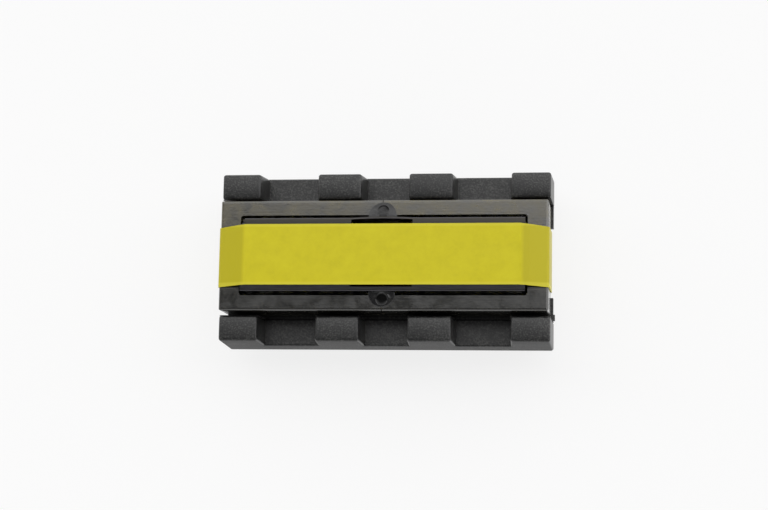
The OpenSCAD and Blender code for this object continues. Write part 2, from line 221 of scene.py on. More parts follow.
def new_material(name):
    """A material with no nodes yet."""
    material = bpy.data.materials.new(name)
    material.use_nodes = True
    material.node_tree.nodes.clear()
    return material


def per_metre(size_mm):
    """Scale of a pattern whose features are about size_mm across."""
    return 1000 / size_mm


def rounded_edge_mask(material, strong=0.8):
    """1 on rounded edges and corners, 0 on the flats along X, Y and Z."""
    surface = add_node(material, "ShaderNodeNewGeometry")
    size = add_node(
        material, "ShaderNodeVectorMath", {"operation": "ABSOLUTE"}, {0: (surface, "Normal")})
    parts = add_node(material, "ShaderNodeSeparateXYZ", links={0: (size, "Vector")})
    level = add_node(
        material, "ShaderNodeMath", {"operation": "MAXIMUM"}, {0: (parts, "X"), 1: (parts, "Y")})
    most = add_node(
        material, "ShaderNodeMath", {"operation": "MAXIMUM"}, {0: (level, 0), 1: (parts, "Z")})
    return add_node(
        material, "ShaderNodeMapRange",
        {"interpolation_type": "SMOOTHSTEP", "From Min": 0.985, "From Max": strong},
        {"Value": (most, 0)})


def specks(material, place, spacing_mm, radius_mm, share):
    """1 on small round specks, which only a share of the pattern's cells hold."""
    cells = add_node(
        material, "ShaderNodeTexVoronoi", {"Scale": per_metre(spacing_mm)},
        {"Vector": (place, "Object")})
    chance = add_node(material, "ShaderNodeSeparateColor", links={"Color": (cells, "Color")})
    kept = add_node(
        material, "ShaderNodeMath", {"operation": "LESS_THAN", 1: share}, {0: (chance, "Red")})
    spot = add_node(
        material, "ShaderNodeMapRange",
        {"From Min": radius_mm / spacing_mm, "From Max": 0.4 * radius_mm / spacing_mm},
        {"Value": (cells, "Distance")})
    return add_node(
        material, "ShaderNodeMath", {"operation": "MULTIPLY"}, {0: (kept, 0), 1: (spot, 0)})


def phenolic_moulding():
    """Phenolic, compression moulded with mineral filler: matt charcoal, with a fine pale grain
    where the filler shows, smoother on top than on the walls that drew along the tool, and a little
    settled dust."""
    material = new_material("phenolic_moulding")
    place = add_node(material, "ShaderNodeTexCoord")
    # Filler grains are about 0.05 mm, drawn at 0.2 mm so that they show
    filler = add_node(
        material, "ShaderNodeTexNoise", {"Scale": per_metre(0.2), "Detail": 2.0},
        {"Vector": (place, "Object")})
    flow = add_node(
        material, "ShaderNodeTexNoise", {"Scale": per_metre(2.6), "Detail": 3.0, "Distortion": 0.6},
        {"Vector": (place, "Object")})
    tone = add_node(
        material, "ShaderNodeMath", {"operation": "MULTIPLY_ADD", 1: 0.35},
        {0: (flow, 0), 2: (filler, 0)})
    colour = add_node(
        material, "ShaderNodeValToRGB",
        {"stops": [(0.48, "#0c0c0d"), (0.68, "#1f1f1f"), (0.86, "#434341")]}, {"Fac": (tone, 0)})
    dust = specks(material, place, 0.7, 0.07, 0.3)
    dusty = add_node(
        material, "ShaderNodeMix", {"data_type": "RGBA", SECOND: linear("#5c5b58")},
        {FACTOR: (dust, 0), FIRST: (colour, "Color")})
    facing = add_node(material, "ShaderNodeNewGeometry")
    way = add_node(material, "ShaderNodeSeparateXYZ", links={0: (facing, "Normal")})
    drawn = add_node(material, "ShaderNodeMath", {"operation": "ABSOLUTE"}, {0: (way, "Y")})
    gloss = add_node(
        material, "ShaderNodeMapRange",
        {"From Min": 0.75, "From Max": 0.97, "To Min": 0.33, "To Max": 0.6}, {"Value": (drawn, 0)})
    bump = add_node(
        material, "ShaderNodeBump", {"Strength": 1.0, "Distance": 0.014 * MM},
        {"Height": (filler, 0)})
    shader = add_node(
        material, "ShaderNodeBsdfPrincipled", {"IOR": 1.57},
        {"Base Color": (dusty, MIXED), "Roughness": (gloss, 0), "Normal": (bump, 0)})
    add_node(material, "ShaderNodeOutputMaterial", links={"Surface": (shader, "BSDF")})
    return material


def cover_plastic():
    """Thermoplastic polyester, injection moulded in a polished tool: smoother and more violet than
    the bobbin, with fine handling scratches, a painted highlight on its rounded edges and painted
    light on its rear strip."""
    material = new_material("cover_plastic")
    place = add_node(material, "ShaderNodeTexCoord")
    stretch = add_node(
        material, "ShaderNodeMapping", {"Scale": (0.08, 1.0, 1.0)}, {"Vector": (place, "Object")})
    scratches = add_node(
        material, "ShaderNodeTexNoise", {"Scale": per_metre(0.12), "Detail": 2.0},
        {"Vector": (stretch, 0)})
    flow = add_node(
        material, "ShaderNodeTexNoise", {"Scale": per_metre(3.5), "Detail": 2.0},
        {"Vector": (place, "Object")})
    colour = add_node(
        material, "ShaderNodeValToRGB", {"stops": [(0.3, "#131215"), (0.7, "#1c1b1f")]},
        {"Fac": (flow, 0)})
    # Painted light: the rear strip of the cover is drawn paler and warmer, standing in for the
    # brighter light from behind
    side = add_node(material, "ShaderNodeSeparateXYZ", links={0: (place, "Object")})
    rear = add_node(
        material, "ShaderNodeMapRange", {"From Min": 3.4 * MM, "From Max": 4.2 * MM, "To Max": 0.8},
        {"Value": (side, "Y")})
    with_painted_rear_light = add_node(
        material, "ShaderNodeMix", {"data_type": "RGBA", SECOND: linear("#38342a")},
        {FACTOR: (rear, 0), FIRST: (colour, "Color")})
    # Painted highlight: the rounded edges are drawn paler, as if they caught the light
    edges = rounded_edge_mask(material)
    paler_edges = add_node(
        material, "ShaderNodeMix", {"data_type": "RGBA", SECOND: linear("#48464c")},
        {FACTOR: (edges, 0), FIRST: (with_painted_rear_light, MIXED)})
    gloss = add_node(
        material, "ShaderNodeMapRange",
        {"From Min": 0.35, "From Max": 0.7, "To Min": 0.14, "To Max": 0.26},
        {"Value": (scratches, 0)})
    bump = add_node(
        material, "ShaderNodeBump", {"Strength": 0.6, "Distance": 0.003 * MM},
        {"Height": (scratches, 0)})
    shader = add_node(
        material, "ShaderNodeBsdfPrincipled", {"IOR": 1.5},
        {"Base Color": (paler_edges, MIXED), "Roughness": (gloss, 0), "Normal": (bump, 0)})
    add_node(material, "ShaderNodeOutputMaterial", links={"Surface": (shader, "BSDF")})
    return material


def ferrite():
    """Manganese-zinc ferrite, pressed, sintered and ground: a dense dark grey ceramic with a half
    gloss, warm cloudy patches, partly varnish and dust and partly painted light, kept to the rear
    leg, a painted sheen on the rear leg, grinding marks, chips, and rounded edges drawn paler."""
    material = new_material("ferrite")
    place = add_node(material, "ShaderNodeTexCoord")
    # Sinter grains are far too fine to show and are drawn 0.25 mm across
    grain = add_node(
        material, "ShaderNodeTexNoise", {"Scale": per_metre(0.25), "Detail": 3.0},
        {"Vector": (place, "Object")})
    cloud = add_node(
        material, "ShaderNodeTexNoise",
        {"Scale": per_metre(1.9), "Detail": 5.0, "Roughness": 0.65, "Distortion": 0.4},
        {"Vector": (place, "Object")})
    stretch = add_node(
        material, "ShaderNodeMapping", {"Scale": (0.06, 1.0, 1.0)}, {"Vector": (place, "Object")})
    grinding = add_node(
        material, "ShaderNodeTexNoise", {"Scale": per_metre(0.16), "Detail": 1.0},
        {"Vector": (stretch, 0)})
    body = add_node(
        material, "ShaderNodeValToRGB",
        {"stops": [(0.3, "#0e0e0c"), (0.55, "#1a1915"), (0.8, "#37342a")]}, {"Fac": (grain, 0)})
    veil = add_node(
        material, "ShaderNodeMapRange",
        {"From Min": 0.36, "From Max": 0.66, "To Min": 0.1, "To Max": 1.0}, {"Value": (cloud, 0)})
    side = add_node(material, "ShaderNodeSeparateXYZ", links={0: (place, "Object")})
    # Painted light: the warm patches are kept to the rear leg and grow there, standing in for the
    # brighter light from behind
    rear = add_node(
        material, "ShaderNodeMapRange",
        {"From Min": -5 * MM, "From Max": 5 * MM, "To Min": 0.0, "To Max": 1.0},
        {"Value": (side, "Y")})
    # Painted sheen: the rear leg is given a higher specular level than the front one, standing in
    # for the brighter light behind
    painted_sheen = add_node(
        material, "ShaderNodeMapRange",
        {"From Min": -5 * MM, "From Max": 5 * MM, "To Min": 0.42, "To Max": 0.5},
        {"Value": (side, "Y")})
    # Warm patches of varnish and dust, with painted light towards the rear
    film = add_node(
        material, "ShaderNodeMath", {"operation": "MULTIPLY"}, {0: (veil, 0), 1: (rear, 0)})
    with_painted_rear_light = add_node(
        material, "ShaderNodeMix", {"data_type": "RGBA", SECOND: linear("#4b4218")},
        {FACTOR: (film, 0), FIRST: (body, "Color")})
    # The rounded edges are drawn a little paler
    edges = rounded_edge_mask(material, 0.9)
    paler_edge_share = add_node(material, "ShaderNodeMath", {"operation": "MULTIPLY", 1: 0.18}, {0: (edges, 0)})
    paler_edges = add_node(
        material, "ShaderNodeMix", {"data_type": "RGBA", SECOND: linear("#6b6a66")},
        {FACTOR: (paler_edge_share, 0), FIRST: (with_painted_rear_light, MIXED)})
    chips = specks(material, place, 1.7, 0.12, 0.35)
    chipped = add_node(
        material, "ShaderNodeMix", {"data_type": "RGBA", SECOND: linear("#100f0e")},
        {FACTOR: (chips, 0), FIRST: (paler_edges, MIXED)})
    gloss = add_node(
        material, "ShaderNodeMapRange",
        {"From Min": 0.36, "From Max": 0.66, "To Min": 0.09, "To Max": 0.25}, {"Value": (cloud, 0)})
    rough = add_node(
        material, "ShaderNodeMath", {"operation": "MULTIPLY_ADD", 1: 0.6},
        {0: (grinding, 0), 2: (grain, 0)})
    bump = add_node(
        material, "ShaderNodeBump", {"Strength": 1.0, "Distance": 0.003 * MM},
        {"Height": (rough, 0)})
    pitted = add_node(
        material, "ShaderNodeBump", {"Strength": 1.0, "Distance": 0.03 * MM, "invert": True},
        {"Height": (chips, 0), "Normal": (bump, 0)})
    shader = add_node(
        material, "ShaderNodeBsdfPrincipled", {"IOR": 1.95},
        {"Base Color": (chipped, MIXED), "Roughness": (gloss, 0), "Specular IOR Level": (painted_sheen, 0),
         "Normal": (pitted, 0)})
    add_node(material, "ShaderNodeOutputMaterial", links={"Surface": (shader, "BSDF")})
    return material


def spacer_film():
    """Polyester film slit to width: pale amber, smooth and a little cloudy."""
    material = new_material("spacer_film")
    place = add_node(material, "ShaderNodeTexCoord")
    cloud = add_node(
        material, "ShaderNodeTexNoise", {"Scale": per_metre(0.8), "Detail": 2.0},
        {"Vector": (place, "Object")})
    colour = add_node(
        material, "ShaderNodeValToRGB", {"stops": [(0.3, "#84724a"), (0.7, "#a08d5c")]},
        {"Fac": (cloud, 0)})
    shader = add_node(
        material, "ShaderNodeBsdfPrincipled", {"IOR": 1.6, "Roughness": 0.35},
        {"Base Color": (colour, "Color")})
    add_node(material, "ShaderNodeOutputMaterial", links={"Surface": (shader, "BSDF")})
    return material


def yellow_polyester_tape():
    """Polyester film tape, pigmented yellow, pulled tight by hand: an even soft gloss with slow
    ripples, paler slit borders, faint smears and the odd speck caught under the film."""
    material = new_material("yellow_polyester_tape")
    place = add_node(material, "ShaderNodeTexCoord")
    smear = add_node(
        material, "ShaderNodeTexNoise", {"Scale": per_metre(1.8), "Detail": 5.0, "Roughness": 0.7},
        {"Vector": (place, "Object")})
    film = add_node(
        material, "ShaderNodeValToRGB",
        {"stops": [(0.3, "#d0c408"), (0.5, "#d6ca0c"), (0.72, "#dacf12")]}, {"Fac": (smear, 0)})
    across = add_node(material, "ShaderNodeSeparateXYZ", links={0: (place, "Object")})
    out = add_node(material, "ShaderNodeMath", {"operation": "ABSOLUTE"}, {0: (across, "Y")})
    along = add_node(material, "ShaderNodeMath", {"operation": "ABSOLUTE"}, {0: (across, "X")})
    # Clear of the cover nothing backs the film, and light is lost through it
    unbacked = add_node(
        material, "ShaderNodeMapRange",
        {"From Min": (COVER_HIGH.x - 0.5) * MM, "From Max": (COVER_HIGH.x - 0.1) * MM},
        {"Value": (along, 0)})
    duller = add_node(
        material, "ShaderNodeMix", {"data_type": "RGBA", SECOND: linear("#c3b70a")},
        {FACTOR: (unbacked, 0), FIRST: (film, "Color")})
    half = millimetres("core_tape")[1].y
    border = add_node(
        material, "ShaderNodeMapRange",
        {"interpolation_type": "SMOOTHSTEP", "From Min": (half - 0.42) * MM,
         "From Max": (half - 0.2) * MM, "To Max": 0.5},
        {"Value": (out, 0)})
    bordered = add_node(
        material, "ShaderNodeMix", {"data_type": "RGBA", SECOND: linear("#e0d63c")},
        {FACTOR: (border, 0), FIRST: (duller, MIXED)})
    dirt = specks(material, place, 1.3, 0.07, 0.22)
    faint = add_node(material, "ShaderNodeMath", {"operation": "MULTIPLY", 1: 0.45}, {0: (dirt, 0)})
    dirty = add_node(
        material, "ShaderNodeMix", {"data_type": "RGBA", SECOND: linear("#7d7420")},
        {FACTOR: (faint, 0), FIRST: (bordered, MIXED)})
    ripple = add_node(
        material, "ShaderNodeTexNoise", {"Scale": per_metre(1.6), "Detail": 1.0},
        {"Vector": (place, "Object")})
    bump = add_node(
        material, "ShaderNodeBump", {"Strength": 1.0, "Distance": 0.008 * MM},
        {"Height": (ripple, 0)})
    shader = add_node(
        material, "ShaderNodeBsdfPrincipled", {"IOR": 1.42, "Roughness": 0.4},
        {"Base Color": (dirty, MIXED), "Normal": (bump, 0)})
    add_node(material, "ShaderNodeOutputMaterial", links={"Surface": (shader, "BSDF")})
    return material


def amber_film_tape():
    """Polyester insulating tape, wound over the primary: a dark amber film, cloudy in patches, with
    small ripples."""
    material = new_material("amber_film_tape")
    place = add_node(material, "ShaderNodeTexCoord")
    cloud = add_node(
        material, "ShaderNodeTexNoise", {"Scale": per_metre(0.9), "Detail": 3.0},
        {"Vector": (place, "Object")})
    colour = add_node(
        material, "ShaderNodeValToRGB",
        {"stops": [(0.3, "#2a1b06"), (0.5, "#3c2708"), (0.75, "#56390d")]}, {"Fac": (cloud, 0)})
    bump = add_node(
        material, "ShaderNodeBump", {"Strength": 1.0, "Distance": 0.012 * MM},
        {"Height": (cloud, 0)})
    shader = add_node(
        material, "ShaderNodeBsdfPrincipled", {"IOR": 1.4, "Roughness": 0.42},
        {"Base Color": (colour, "Color"), "Normal": (bump, 0)})
    add_node(material, "ShaderNodeOutputMaterial", links={"Surface": (shader, "BSDF")})
    return material


def enamelled_copper():
    """Copper magnet wire with a baked polyurethane enamel: reddish metal under a clear coat, darker
    where the enamel is thick."""
    material = new_material("enamelled_copper")
    place = add_node(material, "ShaderNodeTexCoord")
    stretch = add_node(
        material, "ShaderNodeMapping", {"Scale": (1.0, 0.2, 0.2)}, {"Vector": (place, "Object")})
    enamel = add_node(
        material, "ShaderNodeTexNoise", {"Scale": per_metre(0.3), "Detail": 3.0},
        {"Vector": (stretch, 0)})
    colour = add_node(
        material, "ShaderNodeValToRGB",
        {"stops": [(0.3, "#8a3d1b"), (0.5, "#b05a2c"), (0.75, "#c9794a")]}, {"Fac": (enamel, 0)})
    gloss = add_node(
        material, "ShaderNodeMapRange",
        {"From Min": 0.3, "From Max": 0.7, "To Min": 0.22, "To Max": 0.36}, {"Value": (enamel, 0)})
    shader = add_node(
        material, "ShaderNodeBsdfPrincipled",
        {"Metallic": 1.0, "Coat Weight": 0.8, "Coat Roughness": 0.12, "Coat IOR": 1.55},
        {"Base Color": (colour, "Color"), "Roughness": (gloss, 0)})
    add_node(material, "ShaderNodeOutputMaterial", links={"Surface": (shader, "BSDF")})
    return material


def epoxy_glue():
    """Black filled epoxy, dropped on and cured: a glossy skin with tiny burst bubbles in it, and
    painted shade down in the pit, which is drawn black and less glossy."""
    material = new_material("epoxy_glue")
    place = add_node(material, "ShaderNodeTexCoord")
    skin = add_node(
        material, "ShaderNodeTexNoise", {"Scale": per_metre(0.45), "Detail": 3.0},
        {"Vector": (place, "Object")})
    colour = add_node(
        material, "ShaderNodeValToRGB",
        {"stops": [(0.35, "#0f0f11"), (0.55, "#171718"), (0.75, "#2b2a28")]}, {"Fac": (skin, 0)})
    # Painted shade: the pit is drawn black and less glossy, by the share of shade stored on the
    # dab's points
    sunken = add_node(material, "ShaderNodeAttribute", {"attribute_name": "sunken"})
    pit = add_node(
        material, "ShaderNodeMix", {"data_type": "RGBA", SECOND: linear("#060606")},
        {FACTOR: (sunken, "Fac"), FIRST: (colour, "Color")})
    painted_sheen = add_node(
        material, "ShaderNodeMapRange", {"To Min": 0.5, "To Max": 0.16}, {"Value": (sunken, "Fac")})
    bubbles = specks(material, place, 0.5, 0.06, 0.3)
    bump = add_node(
        material, "ShaderNodeBump", {"Strength": 1.0, "Distance": 0.012 * MM},
        {"Height": (skin, 0)})
    popped = add_node(
        material, "ShaderNodeBump", {"Strength": 1.0, "Distance": 0.03 * MM, "invert": True},
        {"Height": (bubbles, 0), "Normal": (bump, 0)})
    shader = add_node(
        material, "ShaderNodeBsdfPrincipled", {"IOR": 1.55, "Roughness": 0.2},
        {"Base Color": (pit, MIXED), "Specular IOR Level": (painted_sheen, 0), "Normal": (popped, 0)})
    add_node(material, "ShaderNodeOutputMaterial", links={"Surface": (shader, "BSDF")})
    return material


def tinned_pin():
    """Copper-clad steel wire, hot tinned and dip soldered: bright grey with soft runs along it."""
    material = new_material("tinned_pin")
    place = add_node(material, "ShaderNodeTexCoord")
    stretch = add_node(
        material, "ShaderNodeMapping", {"Scale": (1.0, 1.0, 0.2)}, {"Vector": (place, "Object")})
    runs = add_node(
        material, "ShaderNodeTexNoise", {"Scale": per_metre(0.3), "Detail": 3.0},
        {"Vector": (stretch, 0)})
    colour = add_node(
        material, "ShaderNodeValToRGB", {"stops": [(0.3, "#a9a9a6"), (0.7, "#cfcfcc")]},
        {"Fac": (runs, 0)})
    gloss = add_node(
        material, "ShaderNodeMapRange",
        {"From Min": 0.3, "From Max": 0.7, "To Min": 0.2, "To Max": 0.38}, {"Value": (runs, 0)})
    bump = add_node(
        material, "ShaderNodeBump", {"Strength": 1.0, "Distance": 0.008 * MM},
        {"Height": (runs, 0)})
    shader = add_node(
        material, "ShaderNodeBsdfPrincipled", {"Metallic": 1.0},
        {"Base Color": (colour, "Color"), "Roughness": (gloss, 0), "Normal": (bump, 0)})
    add_node(material, "ShaderNodeOutputMaterial", links={"Surface": (shader, "BSDF")})
    return material


def solder():
    """Tin alloy, dipped and frozen on the wrap: silvery, dulled in small patches by a frost."""
    material = new_material("solder")
    place = add_node(material, "ShaderNodeTexCoord")
    frost = add_node(
        material, "ShaderNodeTexNoise", {"Scale": per_metre(0.18), "Detail": 3.0},
        {"Vector": (place, "Object")})
    colour = add_node(
        material, "ShaderNodeValToRGB", {"stops": [(0.3, "#9a9c9f"), (0.7, "#c6c8ca")]},
        {"Fac": (frost, 0)})
    gloss = add_node(
        material, "ShaderNodeMapRange",
        {"From Min": 0.3, "From Max": 0.7, "To Min": 0.2, "To Max": 0.42}, {"Value": (frost, 0)})
    bump = add_node(
        material, "ShaderNodeBump", {"Strength": 1.0, "Distance": 0.01 * MM},
        {"Height": (frost, 0)})
    shader = add_node(
        material, "ShaderNodeBsdfPrincipled", {"Metallic": 1.0},
        {"Base Color": (colour, "Color"), "Roughness": (gloss, 0), "Normal": (bump, 0)})
    add_node(material, "ShaderNodeOutputMaterial", links={"Surface": (shader, "BSDF")})
    return material


MATERIALS = {make.__name__: make() for make in (
    phenolic_moulding, cover_plastic, ferrite, spacer_film, yellow_polyester_tape,
    amber_film_tape, enamelled_copper, epoxy_glue, tinned_pin, solder)}

for row in frame["record"]["subparts"]:
    node = NODES[row["node"]]
    node.data.materials.clear()
    node.data.materials.append(MATERIALS[row["material_slot"]])


# ---------------------------------------------------------------- making a piece
def choose(piece):
    """Makes a piece the only one that is chosen."""
    bpy.ops.object.select_all(action="DESELECT")
    piece.select_set(True)
    bpy.context.view_layer.objects.active = piece


def whole(_):
    """A test that everything passes."""
    return True


def edit_chosen(piece, kind, test):
    """Opens a piece for editing, with those vertices, edges or polygons chosen that pass a test."""
    choose(piece)
    mesh = piece.data
    for group in (mesh.vertices, mesh.edges, mesh.polygons):
        group.foreach_set("select", [False] * len(group))
    for item in getattr(mesh, kind):
        item.select = test(item)
    kinds = ("vertices", "edges", "polygons")
    bpy.context.tool_settings.mesh_select_mode = [kind == each for each in kinds]
    bpy.ops.object.mode_set(mode="EDIT")


def close_editing():
    bpy.ops.object.mode_set(mode="OBJECT")


def draw_line(piece, place, way, test=whole):
    """Draws a line round a piece, or over its faces that pass a test, where a plane meets it."""
    edit_chosen(piece, "polygons", test)
    bpy.ops.mesh.bisect(plane_co=place, plane_no=way)
    close_editing()


def cut_away(piece, place, way):
    """Cuts off what lies past a plane and closes the cut."""
    edit_chosen(piece, "polygons", whole)
    bpy.ops.mesh.bisect(plane_co=place, plane_no=way, clear_outer=True)
    bpy.ops.mesh.select_all(action="SELECT")
    bpy.ops.mesh.fill_holes(sides=0)
    close_editing()


def points_of(piece, edge):
    """The two ends of an edge."""
    return [piece.data.vertices[i].co for i in edge.vertices]


def runs_along(piece, edge, axis):
    """Whether an edge runs mostly along an axis, 0 to 2 for X to Z."""
    a, b = points_of(piece, edge)
    return abs(a[axis] - b[axis]) > 0.5 * (a - b).length


def new_cube(name, low, high):
    """A cube primitive drawn out to two corners given in millimetres."""
    bpy.ops.object.select_all(action="DESELECT")
    low, high = Vector(low) * MM, Vector(high) * MM
    bpy.ops.mesh.primitive_cube_add(size=1, location=(low + high) / 2, scale=high - low)
    piece = bpy.context.object
    piece.name = name
    bpy.ops.object.transform_apply(location=True, rotation=True, scale=True)
    return piece


def combine(piece, other, operation):
    """Joins another closed solid to a piece, or cuts it away, and removes the other."""
    choose(piece)
    join = piece.modifiers.new("join", "BOOLEAN")
    join.object = other
    join.operation = operation
    join.solver = "EXACT"
    bpy.ops.object.modifier_apply(modifier=join.name)
    bpy.data.objects.remove(other)


def finish_piece(piece, slot, replaced=None, smooth_angle=60):
    """Smooths a piece, gives it its material and puts it on the body in place of its CAD node."""
    choose(piece)
    bpy.ops.object.shade_smooth_by_angle(angle=math.radians(smooth_angle))
    piece.data.materials.clear()
    piece.data.materials.append(MATERIALS[slot])
    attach(piece, "root")
    if replaced:
        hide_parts(replaced)


def copy_of(node, name):
    """A new piece with a CAD node's shape, its loose triangles merged and its flats joined."""
    piece = bpy.data.objects.new(name, NODES[node].data.copy())
    bpy.context.scene.collection.objects.link(piece)
    edit_chosen(piece, "vertices", whole)
    bpy.ops.mesh.remove_doubles(threshold=0.0005 * MM)
    bpy.ops.mesh.dissolve_limited(angle_limit=math.radians(0.2))
    close_editing()
    return piece


# ---------------------------------------------------------------- bobbin
def moulded_block(name, low, high, lean_low, lean_high, corner_r, top_r, crown=0.0):
    """A block whose sides lean in to the top, with rounded corners and edges and a crowned top."""
    piece = new_cube(name, low, high)
    top = high[2] * MM
    for axis in (0, 1):
        for side, lean in ((low[axis], lean_low[axis]), (high[axis], -lean_high[axis])):
            edit_chosen(piece, "vertices", lambda vertex: vertex.co.z > top - NEAR * MM
                        and abs(vertex.co[axis] - side * MM) < NEAR * MM)
            shift = [0.0, 0.0, 0.0]
            shift[axis] = lean * (high[2] - low[2]) * MM
            bpy.ops.transform.translate(value=shift)
            close_editing()

    def upright(edge):
        return runs_along(piece, edge, 2)

    def on_top(edge):
        return all(point.z > top - NEAR * MM for point in points_of(piece, edge))

    for test, radius in ((upright, corner_r), (on_top, top_r)):
        edit_chosen(piece, "edges", test)
        bpy.ops.mesh.bevel(offset=radius * MM, segments=EDGE_STEPS, affect="EDGES")
        close_editing()
    if crown:
        half = (high[1] - low[1]) / 2
        for share in (0, *CROWN_LINES, *(-line for line in CROWN_LINES)):
            draw_line(piece, (0, (low[1] + half + share * half) * MM, 0), (0, 1, 0))
        for vertex in piece.data.vertices:
            if vertex.co.z > top - 1.2 * top_r * MM:
                across = abs(vertex.co.y / MM - low[1] - half) / half
                vertex.co.z -= (crown * across ** 2 + ROLL_OFF * across ** 8) * MM
    return piece


def make_rail(name, side):
    """One rail: a ledge along the core with four blocks, open below round each pin."""
    low_y, high_y = sorted((side * RAIL_Y, side * BODY_SIDE))
    lean_y = (0, SIDE_LEAN) if side > 0 else (SIDE_LEAN, 0)
    rail = moulded_block(
        name, (-BODY_HALF, low_y, 0), (BODY_HALF, high_y, LEDGE_H),
        (END_LEAN, lean_y[0]), (END_LEAN, lean_y[1]), CORNER_R, LEDGE_R)
    for x in PIN_X:
        corner = abs(x) > BODY_HALF / 2
        height = CORNER_BLOCK_H if corner else MIDDLE_BLOCK_H
        half = (CORNER_BLOCK_LEN if corner else MIDDLE_BLOCK_LEN) / 2 + height * GAP_LEAN
        low_x, high_x = x - half, x + half
        lean_x = [GAP_LEAN, GAP_LEAN]
        if corner and x < 0:
            low_x, lean_x[0] = -BODY_HALF, END_LEAN
        if corner and x > 0:
            high_x, lean_x[1] = BODY_HALF, END_LEAN
        block = moulded_block(
            "block", (low_x, low_y, BLOCK_FOOT_Z), (high_x, high_y, height),
            (lean_x[0], lean_y[0]), (lean_x[1], lean_y[1]), CORNER_R, TOP_R, CROWN)
        combine(rail, block, "UNION")
    for x in PIN_X:
        near_y, far_y = sorted((side * (RAIL_Y - POCKET_RUN_IN), side * (RAIL_Y + POCKET.y)))
        half = POCKET.x / 2
        pocket = new_cube(
            "pocket", (x - half, near_y, -POCKET_RUN_OUT), (x + half, far_y, POCKET.z))
        combine(rail, pocket, "DIFFERENCE")
    finish_piece(rail, "phenolic_moulding", smooth_angle=40)


def make_former():
    """The sectional tube and the floor between the rails."""
    former = copy_of("bobbin", "former")
    for side in (-1, 1):
        near_y, far_y = sorted((side * (RAIL_Y + RAIL_STUB), side * PAST_ALL))
        rail_room = new_cube(
            "rail_room", (-PAST_ALL, near_y, CUT_FOOT), (PAST_ALL, far_y, CUT_TOP))
        combine(former, rail_room, "DIFFERENCE")
    finish_piece(former, "phenolic_moulding", "bobbin", 30)


make_rail("rail_front", -1)
make_rail("rail_rear", 1)
make_former()


# ---------------------------------------------------------------- windings
def wound_ring(name, low_x, high_x, half_y, half_z, pitch, groove):
    """A ring on the tube whose outside shows its turns: a line every half turn, and every second
    one drawn in."""
    ring = new_cube(name, (low_x, -half_y, AXIS_Z - half_z), (high_x, half_y, AXIS_Z + half_z))
    edit_chosen(ring, "edges", lambda edge: runs_along(ring, edge, 0))
    bpy.ops.mesh.bevel(offset=COIL_R * MM, segments=CORNER_STEPS, affect="EDGES")
    close_editing()
    turns = max(2, round((high_x - low_x) / pitch))
    step = (high_x - low_x) / (2 * turns)
    for k in range(1, 2 * turns):
        draw_line(ring, ((low_x + k * step) * MM, 0, 0), (1, 0, 0))

    def between_turns(vertex):
        k = (vertex.co.x / MM - low_x) / step
        return round(k) % 2 == 0

    edit_chosen(ring, "vertices", between_turns)
    bpy.ops.transform.resize(
        value=(1, 1 - groove / half_y, 1 - groove / half_z), center_override=(0, 0, AXIS_Z * MM))
    close_editing()
    return ring


def bore(ring, half_y, half_z, corner_r=0.0):
    """Cuts a ring's hole."""
    tool = new_cube(
        "hole", (-PAST_ALL, -half_y, AXIS_Z - half_z), (PAST_ALL, half_y, AXIS_Z + half_z))
    if corner_r:
        edit_chosen(tool, "edges", lambda edge: runs_along(tool, edge, 0))
        bpy.ops.mesh.bevel(offset=corner_r * MM, segments=CORNER_STEPS, affect="EDGES")
        close_editing()
    combine(ring, tool, "DIFFERENCE")


def make_primary():
    """The primary's turns and the laps of tape over them, whose steps show as shallow grooves."""
    low, high = millimetres("primary_winding")
    coil = wound_ring(
        "primary_turns", low.x, high.x, high.y, high.z - AXIS_Z, PRIMARY_WIRE_T, PRIMARY_GROOVE)
    bore(coil, *TUBE_HALF)
    finish_piece(coil, "enamelled_copper", "primary_winding")
    low, high = millimetres("primary_tape")
    lap = wound_ring("primary_lap", low.x, high.x, high.y, high.z - AXIS_Z, LAP_W, LAP_GROOVE)
    bore(lap, high.y - LAP_T, high.z - AXIS_Z - LAP_T, COIL_R - LAP_T / 2)
    finish_piece(lap, "amber_film_tape", "primary_tape")


def make_secondary(name, node):
    """Sections of fine wire, one modelled and copied, with the crossings between them below."""
    low, high = millimetres(node)
    between = FIN_T + 2 * COIL_SIDE_GAP
    length = (high.x - low.x - (CHAMBERS - 1) * between) / CHAMBERS
    pitch = length + between
    first = wound_ring(
        name, low.x, low.x + length, high.y, high.z - AXIS_Z, FINE_WIRE_T, FINE_GROOVE)
    bore(first, *TUBE_HALF)
    sections = [first]
    for n in range(1, CHAMBERS):
        section = bpy.data.objects.new(f"{name}_{n}", first.data.copy())
        bpy.context.scene.collection.objects.link(section)
        edit_chosen(section, "vertices", whole)
        bpy.ops.transform.translate(value=(n * pitch * MM, 0, 0))
        close_editing()
        sections.append(section)
    for n in range(1, CHAMBERS):
        start = low.x + n * pitch - between
        path = [(start + along, across, low.z + up) for along, across, up in CROSSING]
        sections.append(round_wire(f"{name}_crossing_{n}", CROSSING_R, path))
    bpy.ops.object.select_all(action="DESELECT")
    for section in sections:
        section.select_set(True)
    bpy.context.view_layer.objects.active = first
    bpy.ops.object.join()
    finish_piece(first, "enamelled_copper", node)


def round_wire(name, radius, points):
    """A wire through points given in millimetres, with its corners eased, as a closed mesh."""
    curve = bpy.data.curves.new(name, "CURVE")
    curve.dimensions = "3D"
    curve.bevel_depth = radius * MM
    curve.bevel_resolution = 2
    curve.resolution_u = 5
    curve.use_fill_caps = True
    line = curve.splines.new("NURBS")
    line.points.add(len(points) - 1)
    for point, place in zip(line.points, points):
        point.co = (*(Vector(place) * MM), 1)
    line.order_u = 3
    line.use_endpoint_u = True
    wire = bpy.data.objects.new(name, curve)
    bpy.context.scene.collection.objects.link(wire)
    choose(wire)
    bpy.ops.object.convert(target="MESH")
    return wire


